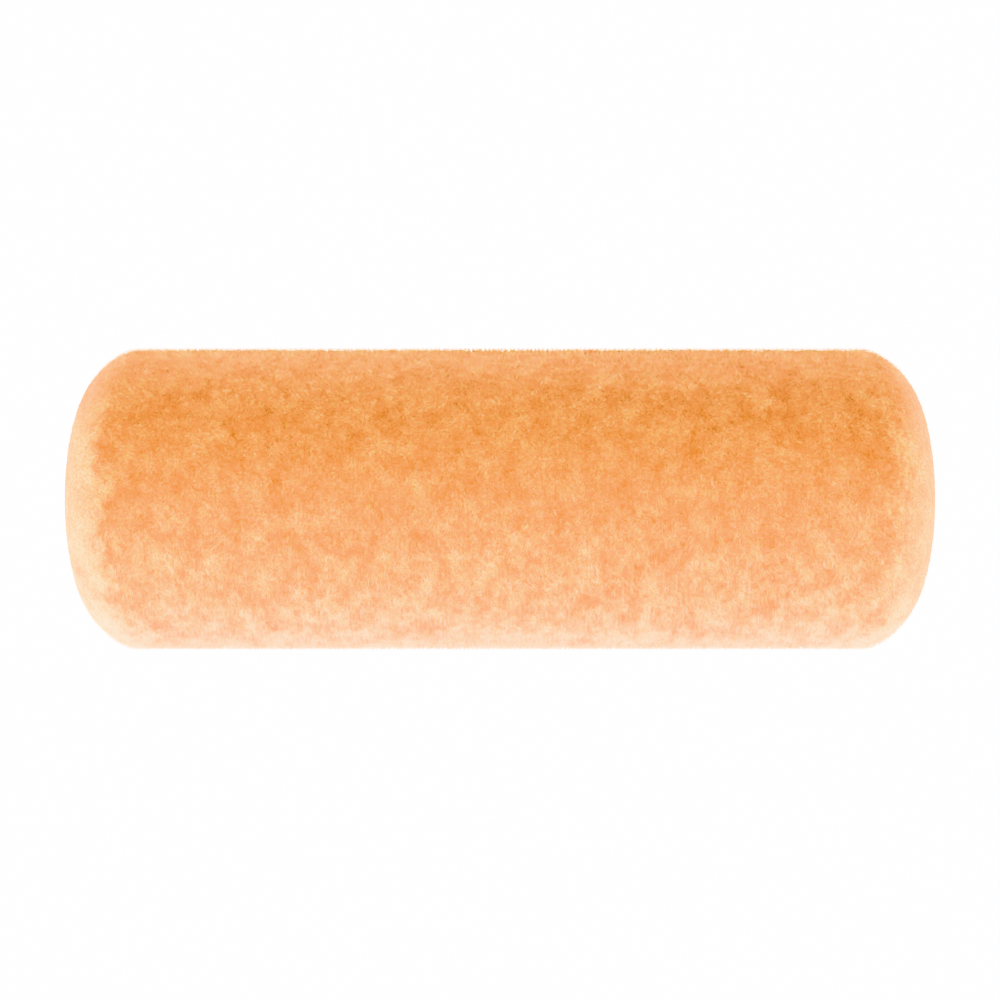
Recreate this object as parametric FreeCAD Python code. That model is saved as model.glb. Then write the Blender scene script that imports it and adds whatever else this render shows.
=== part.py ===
"""A 7 inch paint roller cover: a knitted pile sleeve bonded on a wound plastic core.

Millimetres. The cover's axis is +X, +Z is up, and the origin is the centre of the
bore at mid-length. From the bore outwards the cover is three plies of plastic strip
with a bond film between each pair, the bond that holds the fabric, and the fabric:
its back coating, its knitted base and its pile. The strips and the fabric are wound
in a helix, edge to edge, and each ply's seam starts at a different angle.
"""
import FreeCAD, Part
import math
import os

# Driving dimensions
COVER_LENGTH = 177.8            # 7 inches
BORE_RADIUS = 19.05             # a 1 1/2 inch bore
STRIP_THICKNESS = 0.38          # one ply of the core
PLY_BOND_THICKNESS = 0.13       # the film between two plies
COVER_BOND_THICKNESS = 0.20     # the film under the fabric
BACK_COATING_THICKNESS = 0.15   # the coating that locks the knit's loops
KNIT_BASE_THICKNESS = 0.70
COVER_RADIUS = 32.5             # over the tips of the pile
STRIP_WIDTH = 73.0              # wound strip, plastic and fabric alike: 2 7/8 inches
SEAM_GAP = 0.30                 # between one turn of a strip and the next

# The pile is sheared back at both ends, round over from its tips to the knit
BEVEL_LENGTH = 10.7
BEVEL_FULLNESS = 0.648          # how far out the bevel's middle stands: 0.5 flat, 0.707 elliptical

# The angle about the axis at which each wound strip's seam starts
INNER_SEAM_ANGLE = 0.0
MIDDLE_SEAM_ANGLE = 120.0
OUTER_SEAM_ANGLE = 240.0
FABRIC_SEAM_ANGLE = 60.0

# Worked out from the driving dimensions
HALF_LENGTH = COVER_LENGTH / 2
CORE_GIRTH = 2 * math.pi * (BORE_RADIUS + STRIP_THICKNESS / 2)
WINDING_PITCH = STRIP_WIDTH * CORE_GIRTH / math.sqrt(CORE_GIRTH**2 - STRIP_WIDTH**2)
SEAM_GAP_ALONG_AXIS = SEAM_GAP * WINDING_PITCH / STRIP_WIDTH

ORIGIN = FreeCAD.Vector(0, 0, 0)
X_AXIS = FreeCAD.Vector(1, 0, 0)
Y_AXIS = FreeCAD.Vector(0, 1, 0)


def tube(inner_radius, outer_radius):
    """A plain tube as long as the cover, centred on the origin, along +X."""
    start = FreeCAD.Vector(-HALF_LENGTH, 0, 0)
    outside = Part.makeCylinder(outer_radius, COVER_LENGTH, start, X_AXIS)
    inside = Part.makeCylinder(inner_radius, COVER_LENGTH, start, X_AXIS)
    return outside.cut(inside)


def seam_slot(inner_radius, outer_radius, start_angle):
    """The thin helical gap between the turns of one wound strip, along +X."""
    overshoot = 4.0
    clearance = 0.2
    middle_radius = (inner_radius + outer_radius) / 2
    half_height = (outer_radius - inner_radius) / 2 + clearance
    half_gap = SEAM_GAP_ALONG_AXIS / 2
    corners = [
        FreeCAD.Vector(middle_radius + across * half_height, 0, along * half_gap)
        for across, along in ((-1, -1), (1, -1), (1, 1), (-1, 1), (-1, -1))
    ]
    section = Part.makePolygon(corners)
    path = Part.makeHelix(WINDING_PITCH, COVER_LENGTH + 2 * overshoot, middle_radius)
    slot = Part.Wire(path.Edges).makePipeShell([section], True, True)
    slot.rotate(ORIGIN, Y_AXIS, 90)
    slot.translate(FreeCAD.Vector(-HALF_LENGTH - overshoot, 0, 0))
    slot.rotate(ORIGIN, X_AXIS, start_angle)
    return slot


def wound_strip(inner_radius, thickness, start_angle):
    """One ply: a strip wound edge to edge, with its helical seam left open."""
    outer_radius = inner_radius + thickness
    return tube(inner_radius, outer_radius).cut(seam_slot(inner_radius, outer_radius, start_angle))


def pile(inner_radius, outer_radius):
    """The pile's true outer shape: a ring with a rounded bevel at each end."""
    depth = outer_radius - inner_radius
    full_length_end = HALF_LENGTH - BEVEL_LENGTH

    def at(along, height):
        return FreeCAD.Vector(along, 0, height)

    def bevel(side):
        root = at(side * HALF_LENGTH, inner_radius)
        middle = at(
            side * (full_length_end + BEVEL_FULLNESS * BEVEL_LENGTH),
            inner_radius + BEVEL_FULLNESS * depth,
        )
        tip = at(side * full_length_end, outer_radius)
        return Part.Arc(root, middle, tip).toShape()

    inside = Part.makeLine(at(-HALF_LENGTH, inner_radius), at(HALF_LENGTH, inner_radius))
    outside = Part.makeLine(at(full_length_end, outer_radius), at(-full_length_end, outer_radius))
    outline = Part.Wire(Part.__sortEdges__([inside, bevel(1), outside, bevel(-1)]))
    return Part.Face(outline).revolve(ORIGIN, X_AXIS, 360)


def build_cover():
    """Every piece of the cover by node name, from the bore outwards."""
    layers = [
        ("core_inner_strip", STRIP_THICKNESS, INNER_SEAM_ANGLE),
        ("inner_ply_bond", PLY_BOND_THICKNESS, None),
        ("core_middle_strip", STRIP_THICKNESS, MIDDLE_SEAM_ANGLE),
        ("outer_ply_bond", PLY_BOND_THICKNESS, None),
        ("core_outer_strip", STRIP_THICKNESS, OUTER_SEAM_ANGLE),
        ("cover_bond", COVER_BOND_THICKNESS, None),
        ("fabric_back_coating", BACK_COATING_THICKNESS, FABRIC_SEAM_ANGLE),
        ("fabric_knit_base", KNIT_BASE_THICKNESS, FABRIC_SEAM_ANGLE),
    ]
    pieces = {}
    radius = BORE_RADIUS
    for name, thickness, seam_angle in layers:
        if seam_angle is None:
            pieces[name] = tube(radius, radius + thickness)
        else:
            pieces[name] = wound_strip(radius, thickness, seam_angle)
        radius += thickness
    pieces["nap_pile"] = pile(radius, COVER_RADIUS)
    return pieces


def main():
    os.makedirs("parts", exist_ok=True)
    for name, shape in build_cover().items():
        solid_count = len(shape.Solids)
        print(f"{name}: {solid_count} solid, {shape.Volume:.0f} mm3, valid {shape.isValid()}")
        shape.exportStep(f"parts/{name}.step")


main()
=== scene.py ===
"""The looks of the paint roller cover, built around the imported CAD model. Metres.

The nap is grown fibre by fibre: a dense under-pile with a tufted surface, and many
thousand short crimped fibres that stand out of it, lean round the cover the way the
fabric was brushed, and are sheared to the cover's shape. The core and the fabric's
base are the CAD pieces with their own materials.
"""
import math

import bpy
import numpy as np
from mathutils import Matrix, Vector, noise


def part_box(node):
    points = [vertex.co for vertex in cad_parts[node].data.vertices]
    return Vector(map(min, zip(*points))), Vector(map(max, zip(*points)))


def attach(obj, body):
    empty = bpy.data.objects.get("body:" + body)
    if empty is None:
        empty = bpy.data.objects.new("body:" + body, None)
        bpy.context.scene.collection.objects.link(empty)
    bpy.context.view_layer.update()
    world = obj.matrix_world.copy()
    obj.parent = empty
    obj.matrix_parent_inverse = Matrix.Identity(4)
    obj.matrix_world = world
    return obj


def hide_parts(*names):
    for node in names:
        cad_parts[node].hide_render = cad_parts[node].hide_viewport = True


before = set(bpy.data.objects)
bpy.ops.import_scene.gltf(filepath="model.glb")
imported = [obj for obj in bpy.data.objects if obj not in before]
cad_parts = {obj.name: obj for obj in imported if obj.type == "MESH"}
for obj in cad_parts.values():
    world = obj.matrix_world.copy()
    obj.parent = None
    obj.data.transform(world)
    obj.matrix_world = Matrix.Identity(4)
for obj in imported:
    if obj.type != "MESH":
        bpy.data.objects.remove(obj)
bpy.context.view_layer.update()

MM = 0.001
TURN = 2 * math.pi

# The cover's shape, from the CAD pieces
COVER_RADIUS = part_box("nap_pile")[1].z
HALF_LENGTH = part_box("nap_pile")[1].x
KNIT_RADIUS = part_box("fabric_knit_base")[1].z
COATING_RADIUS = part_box("fabric_back_coating")[1].z
BEVEL_LENGTH = 10.7 * MM
BEVEL_EXPONENT = 1.6            # 1 is a flat bevel, 2 an elliptical one
BEVEL_POINTS = 60

# The core's strips, and how far along the axis one advances in a turn
STRIP_WIDTH = 73 * MM
STRIP_THICKNESS = 0.38 * MM
CORE_GIRTH = TURN * (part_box("core_inner_strip")[1].z - STRIP_THICKNESS / 2)
WINDING_PITCH = STRIP_WIDTH * CORE_GIRTH / math.sqrt(CORE_GIRTH**2 - STRIP_WIDTH**2)
DIE_LINES = 90                  # fine lines across the width of a strip

# The fibres; pairs are the least and the most
FIBRE_COUNT = 230_000
FIBRE_PIECES = 20
FIBRE_RINGS = 4                 # the last one is the tip
FIBRE_SIDES = 3
FIBRE_SCATTER = 0.01            # how unevenly they are spread, in radians about the axis
FIBRE_REACH = (1.4 * MM, 2.0 * MM)
FIBRE_RADIUS = (0.035 * MM, 0.07 * MM)
FIBRE_TAPER = 0.55              # the last ring's radius beside the root's
FIBRE_CURL = (0.1 * MM, 0.3 * MM)
CRIMP_TURN = (1.5, 4.5)         # how far the crimp turns on the way to the tip, in radians

# How the fibres stand; leans are slopes
NAP_LEAN = 0.5                  # brushed round the cover
SWIRL_LEAN = 0.4                # more or less so from swirl to swirl
CLUMP_LEAN = 0.2                # and from clump to clump
FIBRE_LEAN = 0.15               # and from fibre to fibre
BEVEL_LEAN = 0.5                # how far the pile on a bevel still stands straight out from the axis
NAP_LIFT = 0.55 * MM            # how far the longest tips stand above the sheared surface
BEVEL_CUT = 0.5 * MM            # how much lower they stand at the foot of a bevel
TUFT_GAP = 0.2 * MM             # and between tufts
UNEVENNESS = 0.05 * MM          # and from fibre to fibre
TUFT_SIZE = 1.4 * MM
CLUMP_SIZE = 0.9 * MM           # a few fibres whose tips lean together
CLUMP_MIDDLE = (0.1, 0.9)       # where in its cell a clump gathers
CLUMP_PULL = 0.6
SWIRL_SIZE = 7.0 * MM
NAP_SHARE = 0.85                # how far a fibre's shading follows the nap's surface, not its own round
NAP_TILT = 0.12                 # how far a swirl tilts that surface's shading

# The mass of the pile under the fibres' tips
UNDER_PILE_DEPTHS = (0.5 * MM, 0.25 * MM)       # below the sheared surface, and at the foot of a bevel
UNDER_PILE_STEP = 0.63 * MM     # the size of its mesh
UNDER_TUFT_SIZE = 1.6 * MM
UNDER_TUFT_HEIGHT = 0.2 * MM
UNDER_TUFT_ROOT = 1 * MM        # how far above the knit they reach that height
FOOT_WIDTH = 0.5 * MM           # how far it tucks in under the foot of a bevel

# The dye's shade, from 0, deep orange, to 1, pale peach
MEAN_SHADE = 0.58
MOTTLE_SIZE = 6.0 * MM          # the largest patches; the finest are an eighth of it
MOTTLE_SQUEEZE = (1.3, 1.0, 1.0)        # patches are a little shorter along the cover
MOTTLE = 0.13
MOTTLE_WITH_PAINTED_LIGHT_BELOW = 0.15             # how much more it is mottled towards the underside: painted patchy light from underneath
PAINTED_LIGHT_BELOW = 0.12              # how much paler it is towards the underside: painted light from underneath
PAINTED_LIGHT_LOWEST = 0.25             # and close to the lowest line: painted light from underneath
PAINTED_SHADE_ABOVE = 0.10             # how much deeper it is towards the top: painted shade
BEVEL_PALER_AND_PAINTED_LIGHT = (0.27, 0.17)      # how much paler the bevels are, left and right: partly paler dye, partly painted light from the ends, more on the left
BEVEL_MOTTLE = 0.6              # how much of the mottle they keep
BEVEL_BLEND = 4 * MM            # how gradually they turn pale
BEVEL_OVERHANGS = (1 * MM, 3 * MM)      # how far before the bevel that starts: above, and at the lowest line
BEVEL_FRAY = 0.45               # how far the mottle frays their edge
BEVEL_FADE = (0.4, 0.8)         # from which height, in cover radii, to which that fades out
# how much deeper the dye is where the tufts sink, and paler where they rise: partly painted shade in the
# dips
TUFT_SHADE = 0.12
CLUMP_SHADE = 0.05
FIBRE_SHADE = 0.03
TIP_SHADE = 0.12                # how much paler a tip is than its root
GRAIN_SHADE = 1.0               # how strongly the under-pile is grained
PAINTED_GAP_SHADE = -0.80               # how much deeper it is where the grain is deepest: painted shade in the gaps between the fibres

# The cut yarns at the fabric's two ends
YARN_COUNT = 2600
YARN_LENGTH = (0.2 * MM, 0.5 * MM)
YARN_RADIUS = (0.04 * MM, 0.08 * MM)
YARN_SHADE = (0.75, 0.12)       # the mean, and how much it varies
YARN_ROOT = 0.5 * MM            # how far inside the fabric's end they start
YARN_PLACE = (COATING_RADIUS + 0.1 * MM, KNIT_RADIUS + 0.3 * MM)        # how far from the axis
SPLAY_OUT = 0.7                 # the most that a yarn's end leans out
SPLAY_ROUND = 0.5               # and how much it leans round the cover; both are slopes

BAKE_UV = "OFBake"              # the UV map that the built meshes carry and the fibres' material reads
UV_RANGE = (0.02, 0.98)         # a fibre's UVs keep off the map's edges
FIBRE_UV_WIDTH = 0.012
# the under-pile's shade attribute also carries the nap's painted light and painted shade
SHADE_ATTRIBUTE = "shade"
FIBRE_SEED = 7
YARN_SEED = 11
SEED_STEP = (17.3, 5.1, 11.7)   # how far apart two seeds' noises are taken, in their sizes
UNDER_TUFT_SEED = 1
TUFT_SEED = 2
MOTTLE_SEED = 3
SWIRL_SEEDS = (4, 5)            # along and round the cover

# The camera
CAMERA_DISTANCE = 10.5 * COVER_RADIUS
CAMERA_LENS = 56.4
CAMERA_SHIFT_Y = -0.001

# The studio
BACKDROP_WHITE = 14.0           # bright enough to print as pure white
FLOOR_HALF_WIDTH = 4.0
FLOOR_GLOW = 1.6
TABLE_GLOW = 2.2                # more light from the floor close to the cover
TABLE_HALF_WIDTHS = (0.015, 0.05)       # where that starts to fade, and where it ends
TOP_POWER = 38.0
FRONT_POWERS = (11.0, 8.0)      # left and right
BACK_POWER = 8.0


# ----------------------------------------------------------------- node helpers

def new_material(name):
    """A material with a Principled shader, its node tree and that shader."""
    material = bpy.data.materials.new(name)
    material.use_nodes = True
    tree = material.node_tree
    return material, tree, tree.nodes["Principled BSDF"]


def set_input(tree, socket, value):
    """Link a socket to another, or give it a plain value."""
    if isinstance(value, bpy.types.NodeSocket):
        tree.links.new(value, socket)
    else:
        socket.default_value = value


def math_node(tree, operation, *values):
    """A Math node's result; each value is a socket or a number."""
    node = tree.nodes.new("ShaderNodeMath")
    node.operation = operation
    for socket, value in zip(node.inputs, values):
        set_input(tree, socket, value)
    return node.outputs[0]


def weighted(tree, first, second, share):
    """Two values mixed, with that share of the first."""
    rest = math_node(tree, "MULTIPLY", second, 1 - share)
    return math_node(tree, "MULTIPLY_ADD", first, share, rest)


def map_range(tree, value, low, high, to_low=0.0, to_high=1.0):
    """A value moved from one range to another, and clamped to it."""
    node = tree.nodes.new("ShaderNodeMapRange")
    for socket, setting in zip(node.inputs, (value, low, high, to_low, to_high)):
        set_input(tree, socket, setting)
    return node.outputs[0]


def noise_value(tree, vector, size, detail=2.0, roughness=0.5):
    """Noise with features of that size in metres, or in the vector's own unit."""
    node = tree.nodes.new("ShaderNodeTexNoise")
    node.inputs["Scale"].default_value = 1 / size
    node.inputs["Detail"].default_value = detail
    node.inputs["Roughness"].default_value = roughness
    tree.links.new(vector, node.inputs["Vector"])
    return node.outputs["Fac"]


def color_ramp(tree, value, stops):
    """The colour that a value picks from (position, colour) stops."""
    node = tree.nodes.new("ShaderNodeValToRGB")
    elements = node.color_ramp.elements
    while len(elements) < len(stops):
        elements.new(0.5)
    for element, (position, colour) in zip(elements, stops):
        element.position = position
        element.color = (*colour, 1)
    tree.links.new(value, node.inputs[0])
    return node.outputs[0]


def add_bump(tree, shader, height, depth):
    """Raise the surface by up to that depth, in metres, where height is 1."""
    bump = tree.nodes.new("ShaderNodeBump")
    bump.inputs["Distance"].default_value = depth
    tree.links.new(height, bump.inputs["Height"])
    tree.links.new(bump.outputs["Normal"], shader.inputs["Normal"])


def object_place(tree):
    """A point's place on the object, in metres."""
    return tree.nodes.new("ShaderNodeTexCoord").outputs["Object"]


def strip_lines(tree, count):
    """Noise drawn out along a wound strip, with about that many lines across its width."""
    split = tree.nodes.new("ShaderNodeSeparateXYZ")
    tree.links.new(object_place(tree), split.inputs[0])
    minus_z = math_node(tree, "MULTIPLY", split.outputs["Z"], -1.0)
    angle = math_node(tree, "ARCTAN2", split.outputs["Y"], minus_z)
    advance = math_node(tree, "MULTIPLY", split.outputs["X"], TURN / WINDING_PITCH)
    across = math_node(tree, "SUBTRACT", advance, angle)
    radius = count / TURN
    circle = tree.nodes.new("ShaderNodeCombineXYZ")
    for axis, operation in enumerate(("COSINE", "SINE")):
        part = math_node(tree, operation, across)
        tree.links.new(math_node(tree, "MULTIPLY", part, radius), circle.inputs[axis])
    return noise_value(tree, circle.outputs[0], 1.0, detail=3.0, roughness=0.6)


# -------------------------------------------------------------------- materials

def pile_dye(tree, value):
    """The pile's colour for a shade from 0, deep orange, to 1, pale peach; the shades it is given carry
    painted light and painted shade too.
    """
    return color_ramp(tree, value, [
        (0.0, (0.50, 0.175, 0.03)),
        (0.3, (0.74, 0.288, 0.08)),
        (0.5, (0.90, 0.447, 0.12)),
        (0.65, (0.93, 0.594, 0.212)),
        (1.0, (0.97, 0.80, 0.605)),
    ])


def finish_pile(shader):
    """The pile's surface: matt, with the white velvet sheen of fine synthetic fibre."""
    shader.inputs["Roughness"].default_value = 0.85
    shader.inputs["Specular IOR Level"].default_value = 0.12
    shader.inputs["Sheen Weight"].default_value = 0.09
    shader.inputs["Sheen Roughness"].default_value = 0.5
    shader.inputs["Sheen Tint"].default_value = (1.0, 0.93, 0.86, 1)


def fibre_material():
    """Pile fibres: the UV map's u is the fibre's shade, with its painted light and shade, and its v runs
    from root to tip.
    """
    material, tree, shader = new_material("nap_fibre")
    where = tree.nodes.new("ShaderNodeUVMap")
    where.uv_map = BAKE_UV
    split = tree.nodes.new("ShaderNodeSeparateXYZ")
    tree.links.new(where.outputs["UV"], split.inputs[0])
    from_middle = math_node(tree, "SUBTRACT", split.outputs["Y"], 0.5)
    shade = math_node(tree, "MULTIPLY_ADD", from_middle, TIP_SHADE, split.outputs["X"])
    tree.links.new(pile_dye(tree, shade), shader.inputs["Base Color"])
    finish_pile(shader)
    return material


def under_pile_material():
    """The mass of the pile between the fibres: their own mottled shade, made deeper by painted shade in the
    gaps, with a fine grain.
    """
    material, tree, shader = new_material("nap_under_pile")
    mottle = tree.nodes.new("ShaderNodeAttribute")
    mottle.attribute_name = SHADE_ATTRIBUTE
    grain = noise_value(tree, object_place(tree), 0.4 * MM, detail=2.0)
    speckled = math_node(tree, "MULTIPLY_ADD", grain, GRAIN_SHADE, mottle.outputs["Fac"])
    # painted shade: the under-pile is darkened where it shows between the fibres
    shade = math_node(tree, "ADD", speckled, PAINTED_GAP_SHADE)
    tree.links.new(pile_dye(tree, shade), shader.inputs["Base Color"])
    finish_pile(shader)
    return material


def knit_material():
    """The cut edge of the knitted base: dyed yarns, with painted light on their crowns and painted shade in
    the gaps between them.
    """
    material, tree, shader = new_material("knit_base")
    cells = tree.nodes.new("ShaderNodeTexVoronoi")
    cells.inputs["Scale"].default_value = 1 / (0.42 * MM)
    tree.links.new(object_place(tree), cells.inputs["Vector"])
    yarns = map_range(tree, cells.outputs["Distance"], 0.1, 0.6, 1.0, 0.0)
    fuzz = noise_value(tree, object_place(tree), 0.15 * MM, detail=3.0, roughness=0.7)
    height = math_node(tree, "MULTIPLY_ADD", fuzz, 0.5, yarns)
    # painted shade: darker in the gaps between the yarns; painted light: paler on their crowns
    colour = color_ramp(tree, height, [
        (0.15, (0.60, 0.27, 0.08)),
        (0.55, (0.86, 0.48, 0.18)),
        (1.0, (0.94, 0.66, 0.36)),
    ])
    tree.links.new(colour, shader.inputs["Base Color"])
    tree.links.new(map_range(tree, height, 0.0, 1.4, 1.0, 0.75), shader.inputs["Roughness"])
    shader.inputs["Specular IOR Level"].default_value = 0.2
    shader.inputs["Sheen Weight"].default_value = 0.5
    add_bump(tree, shader, height, 0.15 * MM)
    return material


def coating_material():
    """The latex on the fabric's back: tan, matt and pebbled, with thin patches."""
    material, tree, shader = new_material("back_coating")
    patches = noise_value(tree, object_place(tree), 3 * MM, detail=4.0, roughness=0.6)
    pebbles = noise_value(tree, object_place(tree), 0.4 * MM, detail=2.0)
    mottle = math_node(tree, "MULTIPLY_ADD", pebbles, 0.4, patches)
    colour = color_ramp(tree, mottle, [(0.45, (0.22, 0.16, 0.09)), (0.9, (0.34, 0.27, 0.17))])
    tree.links.new(colour, shader.inputs["Base Color"])
    tree.links.new(map_range(tree, mottle, 0.4, 1.0, 0.75, 0.5), shader.inputs["Roughness"])
    add_bump(tree, shader, pebbles, 0.05 * MM)
    return material


def plastic_material(name, dark, pale, smooth, rough):
    """Extruded polypropylene: cloudy, with fine die lines along the wound strip and light rubbing."""
    material, tree, shader = new_material(name)
    lines = strip_lines(tree, DIE_LINES)
    clouds = noise_value(tree, object_place(tree), 14 * MM, detail=4.0, roughness=0.55)
    grain = noise_value(tree, object_place(tree), 0.5 * MM, detail=2.0)
    mottle = weighted(tree, lines, clouds, 0.45)
    colour = color_ramp(tree, mottle, [(0.35, dark), (0.62, pale)])
    tree.links.new(colour, shader.inputs["Base Color"])
    rubbed = weighted(tree, grain, lines, 0.4)
    tree.links.new(map_range(tree, rubbed, 0.35, 0.65, smooth, rough), shader.inputs["Roughness"])
    shader.inputs["IOR"].default_value = 1.49
    shader.inputs["Specular IOR Level"].default_value = 0.3
    shader.inputs["Subsurface Weight"].default_value = 0.15
    shader.inputs["Subsurface Radius"].default_value = (1.0, 0.9, 0.7)
    shader.inputs["Subsurface Scale"].default_value = 0.6 * MM
    add_bump(tree, shader, rubbed, 0.04 * MM)
    return material


def give_cad_materials():
    """Give each CAD piece that stays its own material."""
    strip = plastic_material(
        "polypropylene_strip", dark=(0.030, 0.032, 0.034), pale=(0.060, 0.062, 0.064), smooth=0.5, rough=0.7
    )
    bond = plastic_material(
        "polypropylene_bond", dark=(0.10, 0.10, 0.095), pale=(0.16, 0.16, 0.15), smooth=0.24, rough=0.4
    )
    chosen = {
        "core_inner_strip": strip,
        "inner_ply_bond": bond,
        "core_middle_strip": strip,
        "outer_ply_bond": bond,
        "core_outer_strip": strip,
        "cover_bond": bond,
        "fabric_back_coating": coating_material(),
        "fabric_knit_base": knit_material(),
    }
    for name, material in chosen.items():
        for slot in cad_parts[name].material_slots:
            slot.material = material


# ------------------------------------------------------------------ nap's shape

def nap_outline(step):
    """Points (along, radius) of the nap's outline, from the left end's root to the right's."""
    depth = COVER_RADIUS - KNIT_RADIUS
    straight = HALF_LENGTH - BEVEL_LENGTH
    turns = np.linspace(0.0, math.pi / 2, BEVEL_POINTS)
    along = straight + BEVEL_LENGTH * np.cos(turns) ** (2 / BEVEL_EXPONENT)
    radius = KNIT_RADIUS + depth * np.sin(turns) ** (2 / BEVEL_EXPONENT)
    right = np.stack([along[::-1], radius[::-1]], axis=1)
    left = np.stack([-along, radius], axis=1)
    rough = np.concatenate([left, right])
    lengths = np.concatenate([[0.0], np.cumsum(np.hypot(*np.diff(rough, axis=0).T))])
    even = np.linspace(0.0, lengths[-1], int(lengths[-1] / step) + 1)
    return np.stack([np.interp(even, lengths, part) for part in rough.T], axis=1)


def unit_outline_normals(outline):
    """The outward unit normal (along, radial) at each point of an outline."""
    slope = np.gradient(outline, axis=0)
    return unit(np.stack([-slope[:, 1], slope[:, 0]], axis=1))


def around(along, radial, angle):
    """Points or directions in the row frame, from their axial and radial parts."""
    return np.stack([along, radial * np.cos(angle), radial * np.sin(angle)], axis=1)


def spokes(angle):
    """Unit directions straight out from the axis."""
    return around(np.zeros_like(angle), np.ones_like(angle), angle)


def unit(vectors):
    """Vectors along the last axis, made one long."""
    return vectors / np.linalg.norm(vectors, axis=-1, keepdims=True)


def noise_at(points, size, seed, octaves=1, falloff=1.0):
    """Smooth noise, about -1 to 1, with features of that size, and finer ones that fall off."""
    offset = seed * Vector(SEED_STEP)
    return np.array([noise.fractal(Vector(p) + offset, falloff, 2.0, octaves) for p in points / size])


def past_bevel_start(along):
    """How far past the start of the nearer bevel, from 0 to 1 at its foot."""
    return np.clip((np.abs(along) - HALF_LENGTH + BEVEL_LENGTH) / BEVEL_LENGTH, 0, 1)


def nap_shade(points):
    """The dye's shade at points of the nap: mottled at every size; paler and more mottled below as painted
    light from underneath, deeper towards the top as painted shade, and paler on the bevels, partly as
    painted light.
    """
    along = points[:, 0]
    rise = points[:, 2] / COVER_RADIUS
    below = np.clip(-rise, 0, 1)
    above = np.clip(rise, 0, 1)
    mottle = noise_at(points * np.array(MOTTLE_SQUEEZE), MOTTLE_SIZE, MOTTLE_SEED, octaves=4, falloff=0.0)
    overhang = np.interp(below, (0, 1), BEVEL_OVERHANGS)
    past_edge = np.abs(along) - HALF_LENGTH + BEVEL_LENGTH + overhang
    on_bevel = np.clip(past_edge / BEVEL_BLEND + BEVEL_FRAY * mottle, 0, 1)
    # the bevels' paleness is partly paler dye and partly painted light from the ends
    paler = on_bevel * np.interp(rise, BEVEL_FADE, (1, 0)) * np.where(along < 0, *BEVEL_PALER_AND_PAINTED_LIGHT)
    # painted light from underneath makes it paler towards the underside, and painted shade makes it deeper
    # towards the top
    paler += PAINTED_LIGHT_BELOW * below + PAINTED_LIGHT_LOWEST * below**4 - PAINTED_SHADE_ABOVE * above**2
    strength = (MOTTLE + MOTTLE_WITH_PAINTED_LIGHT_BELOW * below) * (1 - (1 - BEVEL_MOTTLE) * on_bevel)
    return MEAN_SHADE + strength * mottle + paler


def build_mesh(name, vertices, faces, uvs, normals=None):
    """A smooth-shaded mesh object; uvs holds one pair for each corner of each face."""
    corners = faces.shape[1]
    mesh = bpy.data.meshes.new(name)
    mesh.vertices.add(len(vertices))
    mesh.vertices.foreach_set("co", vertices.astype(np.float32).ravel())
    mesh.loops.add(faces.size)
    mesh.loops.foreach_set("vertex_index", faces.astype(np.int32).ravel())
    mesh.polygons.add(len(faces))
    mesh.polygons.foreach_set("loop_start", np.arange(len(faces), dtype=np.int32) * corners)
    mesh.polygons.foreach_set("use_smooth", np.ones(len(faces), dtype=bool))
    mesh.update(calc_edges=True)
    layer = mesh.uv_layers.new(name=BAKE_UV)
    layer.data.foreach_set("uv", uvs.astype(np.float32).ravel())
    if normals is not None:
        mesh.normals_split_custom_set_from_vertices(normals)
    made = bpy.data.objects.new(name, mesh)
    bpy.context.scene.collection.objects.link(made)
    return made


def ring_faces(rings, columns):
    """Quads that join rings of points, the last ring to the first too, and their corners' UVs."""
    ring, spoke = np.meshgrid(np.arange(rings), np.arange(columns), indexing="ij")
    corner_rings = ring.ravel()[:, None] + np.array([0, 0, 1, 1])
    corner_spokes = spoke.ravel()[:, None] + np.array([0, 1, 1, 0])
    faces = (corner_rings % rings) * columns + corner_spokes % columns
    return faces, np.stack([corner_rings / rings, corner_spokes / columns], axis=2)


def make_under_pile():
    """The closed ring of pile that the fibres stand out of, with a tufted surface."""
    outline = nap_outline(UNDER_PILE_STEP)
    normals = unit_outline_normals(outline)
    depth = np.interp(past_bevel_start(outline[:, :1]), (0, 1), UNDER_PILE_DEPTHS)
    sunk = outline - normals * depth
    sunk[:, 1] = np.maximum(sunk[:, 1], KNIT_RADIUS)
    columns = int(TURN * COVER_RADIUS / UNDER_PILE_STEP)
    angles = np.arange(columns) * TURN / columns
    row, column = np.meshgrid(np.arange(len(outline)), np.arange(columns), indexing="ij")
    row = row.ravel()
    angle = angles[column.ravel()]
    points = around(sunk[row, 0], sunk[row, 1], angle)
    outward = around(normals[row, 0], normals[row, 1], angle)
    tufts = UNDER_TUFT_HEIGHT * noise_at(points, UNDER_TUFT_SIZE, UNDER_TUFT_SEED, octaves=3)
    above_knit = np.clip((sunk[row, 1] - KNIT_RADIUS) / UNDER_TUFT_ROOT, 0, 1)
    points += outward * (tufts * above_knit)[:, None]
    feet = [
        around(np.full(columns, along), np.full(columns, KNIT_RADIUS), angles)
        for along in (sunk[-1, 0] - FOOT_WIDTH, sunk[0, 0] + FOOT_WIDTH)
    ]
    vertices = np.concatenate([points, *feet])
    faces, uvs = ring_faces(len(outline) + len(feet), columns)
    under_pile = build_mesh("nap_under_pile", vertices, faces, uvs)
    # the nap's shade, with its painted light below and on the bevels and its painted shade above
    shade = under_pile.data.attributes.new(SHADE_ATTRIBUTE, "FLOAT", "POINT")
    shade.data.foreach_set("value", nap_shade(vertices).astype(np.float32))
    under_pile.data.materials.append(under_pile_material())
    return under_pile


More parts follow.
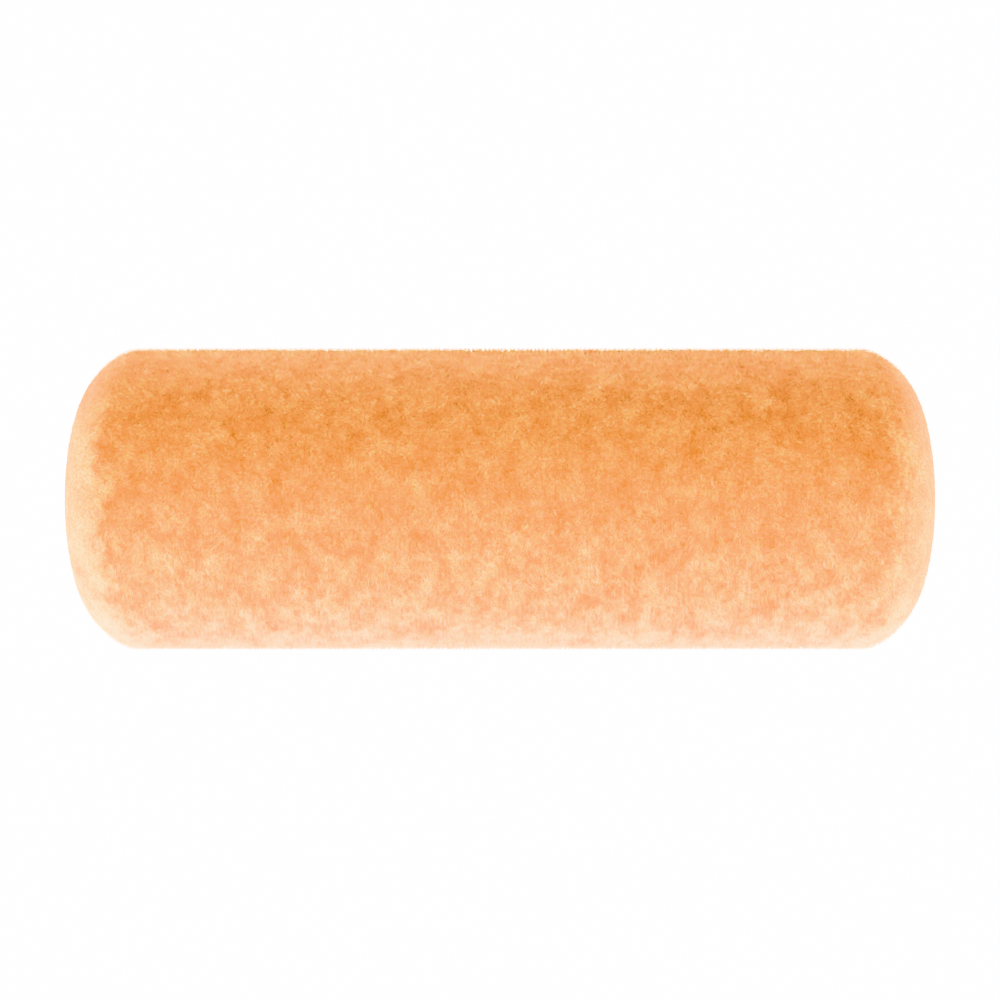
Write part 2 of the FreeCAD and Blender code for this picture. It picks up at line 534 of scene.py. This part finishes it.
def sweep_fibres(centres, radius, surface_normal):
    """Closed thin prisms along rows of centres: their vertices and shading normals."""
    count = len(centres)
    heading = unit(np.gradient(centres, axis=1))
    first = unit(np.cross(heading, np.roll(surface_normal, 1, axis=1)[:, None, :]))
    second = np.cross(heading, first)
    taper = np.linspace(1.0, FIBRE_TAPER, FIBRE_RINGS - 1)
    spread = (radius[:, None] * taper)[:, :, None]
    tip_normal = surface_normal[:, None, :]
    body, normals = [], []
    for side in range(FIBRE_SIDES):
        turn = TURN * side / FIBRE_SIDES
        outward = math.cos(turn) * first[:, :-1] + math.sin(turn) * second[:, :-1]
        body.append(centres[:, :-1] + outward * spread)
        normals.append(NAP_SHARE * tip_normal + (1 - NAP_SHARE) * outward)
    body = np.stack(body, axis=2).reshape(count, -1, 3)
    normals = np.stack(normals, axis=2).reshape(count, -1, 3)
    vertices = np.concatenate([body, centres[:, -1:]], axis=1)
    return vertices, unit(np.concatenate([normals, tip_normal], axis=1))


def fibre_triangles():
    """The triangles of one fibre: its sides, its pointed tip and its closed root."""
    triangles = [(2, 1, 0)]
    last = (FIBRE_RINGS - 2) * FIBRE_SIDES
    for side in range(FIBRE_SIDES):
        beside = (side + 1) % FIBRE_SIDES
        for start in range(0, last, FIBRE_SIDES):
            near = start + side
            far = start + beside
            triangles += [(near, far, far + FIBRE_SIDES), (near, far + FIBRE_SIDES, near + FIBRE_SIDES)]
        triangles.append((last + side, last + beside, last + FIBRE_SIDES))
    return np.array(triangles)


def fibre_uvs(shade):
    """UVs for each vertex of each fibre: a narrow strip at its shade, from root to tip."""
    shade = np.clip(shade, *UV_RANGE)
    strip = FIBRE_UV_WIDTH * np.linspace(-0.5, 0.5, FIBRE_SIDES)
    steps = np.linspace(*UV_RANGE, FIBRE_RINGS)
    u = shade[:, None, None] + strip + np.zeros((FIBRE_RINGS - 1, 1))
    v = np.broadcast_to(steps[:-1, None], u.shape)
    u = np.concatenate([u.reshape(len(shade), -1), shade[:, None]], axis=1)
    v = np.concatenate([v.reshape(len(shade), -1), np.full((len(shade), 1), steps[-1])], axis=1)
    return np.stack([u, v], axis=2)


def fibre_piece(name, vertices, normals, uvs, material):
    """One mesh of many fibres."""
    triangles = fibre_triangles()
    starts = np.arange(len(vertices)) * vertices.shape[1]
    faces = (starts[:, None, None] + triangles).reshape(-1, 3)
    corner_uvs = uvs.reshape(-1, 2)[faces.ravel()]
    piece = build_mesh(name, vertices.reshape(-1, 3), faces, corner_uvs, normals.reshape(-1, 3))
    piece.data.materials.append(material)
    return piece


def scatter_fibres(rng):
    """Even places on the nap: how far along its outline, and each one's angle, point and normal."""
    outline_step = 0.2 * MM
    outline = nap_outline(outline_step)
    index = np.arange(len(outline))
    area = np.cumsum(outline[:, 1])
    order = np.arange(FIBRE_COUNT)
    share = (order + rng.uniform(0, 1, FIBRE_COUNT)) / FIBRE_COUNT
    place = np.interp(share * area[-1], area, index)
    golden = (math.sqrt(5) - 1) / 2
    angle = TURN * ((order * golden) % 1.0) + rng.normal(0, FIBRE_SCATTER, FIBRE_COUNT)
    parts = [*outline.T, *unit_outline_normals(outline).T]
    along, radius, normal_along, normal_radial = (np.interp(place, index, part) for part in parts)
    surface = around(along, radius, angle)
    normal = around(normal_along, normal_radial, angle)
    return place * outline_step, angle, surface, normal


def gather_clumps(rng, distance, angle):
    """Each fibre's pull to the middle of its clump, and the clump's lean and shade.

    Pulls and leans are pairs: along and round the cover.
    """
    columns = int(TURN * COVER_RADIUS / CLUMP_SIZE)
    grid = np.stack([distance / CLUMP_SIZE, (angle / TURN) % 1.0 * columns])
    row, column = np.floor(grid).astype(int)
    clump = row * columns + column
    clumps = clump.max() + 1
    middle = rng.uniform(*CLUMP_MIDDLE, (2, clumps))
    pull = (middle[:, clump] - grid % 1.0) * CLUMP_SIZE * CLUMP_PULL
    lean = rng.normal(0, CLUMP_LEAN, (2, clumps))
    shade = rng.normal(0, CLUMP_SHADE, clumps)
    return pull, lean[:, clump], shade[clump]


def make_fibres(material):
    """The pile's fibres, in pieces side by side round the cover."""
    rng = np.random.default_rng(FIBRE_SEED)
    distance, angle, surface, normal = scatter_fibres(rng)
    pull, clump_lean, clump_shade = gather_clumps(rng, distance, angle)
    sideways = spokes(angle + math.pi / 2)
    lengthways = np.cross(normal, sideways)

    def on_surface(parts):
        """A direction on the nap's surface, from its parts along and round the cover."""
        return lengthways * parts[0][:, None] + sideways * parts[1][:, None]

    tuft = noise_at(surface, TUFT_SIZE, TUFT_SEED)
    swirl = np.stack([noise_at(surface, SWIRL_SIZE, seed, octaves=4, falloff=0.3) for seed in SWIRL_SEEDS])
    lean = SWIRL_LEAN * swirl + clump_lean + rng.normal(0, FIBRE_LEAN, (2, FIBRE_COUNT))
    lean[1] += NAP_LEAN
    slant = (1 - BEVEL_LEAN) * normal + BEVEL_LEAN * spokes(angle) + on_surface(lean)
    height = NAP_LIFT - BEVEL_CUT * past_bevel_start(surface[:, 0]) + TUFT_GAP * np.minimum(tuft, 0)
    height -= np.abs(rng.normal(0, UNEVENNESS, FIBRE_COUNT))
    tip = surface + normal * height[:, None]
    reach = rng.uniform(*FIBRE_REACH, FIBRE_COUNT)
    curl = rng.uniform(*FIBRE_CURL, FIBRE_COUNT)
    phase = rng.uniform(0, TURN, FIBRE_COUNT)
    turns = rng.uniform(*CRIMP_TURN, FIBRE_COUNT) * rng.choice([-1, 1], FIBRE_COUNT)
    centres = []
    for t in np.linspace(0.0, 1.0, FIBRE_RINGS):
        crimp = curl * np.stack([np.cos(phase + turns * t), np.sin(phase + turns * t)])
        centres.append(tip - slant * (reach * (1 - t))[:, None] + on_surface((crimp + pull) * t))
    radius = rng.uniform(*FIBRE_RADIUS, FIBRE_COUNT)
    facing = unit(normal - NAP_TILT * on_surface(swirl))
    vertices, normals = sweep_fibres(np.stack(centres, axis=1), radius, facing)

    # the fibres' shade carries the nap's painted light below and on the bevels, its painted shade above, and
    # the tufts' painted shade in their dips
    shade = nap_shade(surface) + TUFT_SHADE * tuft + clump_shade + rng.normal(0, FIBRE_SHADE, FIBRE_COUNT)
    uvs = fibre_uvs(shade)
    by_angle = np.argsort(angle % TURN)
    return [
        fibre_piece(f"nap_fibres_{number:02d}", vertices[chosen], normals[chosen], uvs[chosen], material)
        for number, chosen in enumerate(np.array_split(by_angle, FIBRE_PIECES), start=1)
    ]


def make_cut_yarns(material):
    """The knit's cut yarn ends, short and frayed, that stand out of the fabric at each end."""
    rng = np.random.default_rng(YARN_SEED)
    pieces = []
    for side, name in ((-1, "left"), (1, "right")):
        angle = rng.uniform(0, TURN, YARN_COUNT)
        radius = rng.uniform(*YARN_PLACE, YARN_COUNT)
        root = around(np.full(YARN_COUNT, side * (HALF_LENGTH - YARN_ROOT)), radius, angle)
        forward = np.tile([side, 0.0, 0.0], (YARN_COUNT, 1))
        length = rng.uniform(*YARN_LENGTH, YARN_COUNT)
        splay_out = rng.uniform(0.0, SPLAY_OUT, YARN_COUNT)
        splay_round = rng.normal(0, SPLAY_ROUND, YARN_COUNT)
        splay = spokes(angle) * splay_out[:, None] + spokes(angle + math.pi / 2) * splay_round[:, None]
        stations = np.linspace(0.0, 1.0, FIBRE_RINGS)
        centres = [root + length[:, None] * t * (forward + splay * t) for t in stations]
        thickness = rng.uniform(*YARN_RADIUS, YARN_COUNT)
        vertices, normals = sweep_fibres(np.stack(centres, axis=1), thickness, forward)
        uvs = fibre_uvs(rng.normal(*YARN_SHADE, YARN_COUNT))
        pieces.append(fibre_piece(f"knit_cut_yarns_{name}", vertices, normals, uvs, material))
    return pieces


# ----------------------------------------------------------------------- studio

def emission(tree, strength):
    """A white Emission shader's output."""
    node = tree.nodes.new("ShaderNodeEmission")
    node.inputs["Strength"].default_value = strength
    return node.outputs[0]


def white_to_camera(tree, output, unseen):
    """Show plain white to the camera, and the unseen shader to everything else."""
    mix = tree.nodes.new("ShaderNodeMixShader")
    tree.links.new(tree.nodes.new("ShaderNodeLightPath").outputs["Is Camera Ray"], mix.inputs[0])
    tree.links.new(unseen, mix.inputs[1])
    tree.links.new(emission(tree, BACKDROP_WHITE), mix.inputs[2])
    tree.links.new(mix.outputs[0], output)


def make_floor():
    """A wide white light table under the cover, brightest near it."""
    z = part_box("nap_pile")[0].z
    sides = ((-1, -1), (1, -1), (1, 1), (-1, 1))
    corners = [(x * FLOOR_HALF_WIDTH, y * FLOOR_HALF_WIDTH, z) for x, y in sides]
    mesh = bpy.data.meshes.new("studio_floor")
    mesh.from_pydata(corners, [], [(0, 1, 2, 3)])
    floor = bpy.data.objects.new("studio_floor", mesh)
    bpy.context.scene.collection.objects.link(floor)
    material, tree, shader = new_material("studio_floor")
    shader.inputs["Base Color"].default_value = (0.85, 0.85, 0.85, 1)
    shader.inputs["Roughness"].default_value = 1.0
    shader.inputs["Specular IOR Level"].default_value = 0.0
    shader.inputs["Emission Color"].default_value = (1, 1, 1, 1)
    split = tree.nodes.new("ShaderNodeSeparateXYZ")
    tree.links.new(object_place(tree), split.inputs[0])
    away = math_node(tree, "ABSOLUTE", split.outputs["Y"])
    strength = map_range(tree, away, *TABLE_HALF_WIDTHS, FLOOR_GLOW + TABLE_GLOW, FLOOR_GLOW)
    tree.links.new(strength, shader.inputs["Emission Strength"])
    white_to_camera(tree, tree.nodes["Material Output"].inputs["Surface"], shader.outputs[0])
    mesh.materials.append(material)
    return floor


def add_softbox(name, place, size, power):
    """A square area light at place, turned towards the cover and unseen itself."""
    light = bpy.data.lights.new(name, "AREA")
    light.size = size
    light.energy = power
    lamp = bpy.data.objects.new(name, light)
    lamp.location = place
    lamp.rotation_euler = (-Vector(place)).to_track_quat("-Z", "Y").to_euler()
    lamp.visible_camera = False
    bpy.context.scene.collection.objects.link(lamp)


def make_lights():
    """Soft white light from above and from both ends; the surround itself gives none."""
    add_softbox("above", (0, 0.4, 0.85), 0.8, TOP_POWER)
    for side, name, power in ((-1, "left", FRONT_POWERS[0]), (1, "right", FRONT_POWERS[1])):
        add_softbox(f"front_{name}", (side * 0.7, -0.2, 0.05), 0.4, power)
        add_softbox(f"back_{name}", (side * 0.6, 0.3, 0.1), 0.4, BACK_POWER)
    world = bpy.data.worlds.new("studio")
    bpy.context.scene.world = world
    world.use_nodes = True
    tree = world.node_tree
    tree.nodes["Background"].inputs["Strength"].default_value = 0.0
    white_to_camera(tree, tree.nodes["World Output"].inputs["Surface"], tree.nodes["Background"].outputs[0])


def make_camera():
    """Square on to the cover's side, level with its axis."""
    data = bpy.data.cameras.new("camera")
    data.lens = CAMERA_LENS
    data.shift_y = CAMERA_SHIFT_Y
    camera = bpy.data.objects.new("camera", data)
    camera.location = (0, -CAMERA_DISTANCE, 0)
    camera.rotation_euler = (math.pi / 2, 0, 0)
    bpy.context.scene.collection.objects.link(camera)
    bpy.context.scene.camera = camera


make_camera()
make_lights()
make_floor()
bpy.context.scene.view_settings.view_transform = "Khronos PBR Neutral"
give_cad_materials()

fibre = fibre_material()
for piece in [make_under_pile(), *make_fibres(fibre)]:
    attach(piece, "root")
    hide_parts("nap_pile")
for piece in make_cut_yarns(fibre):
    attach(piece, "root")
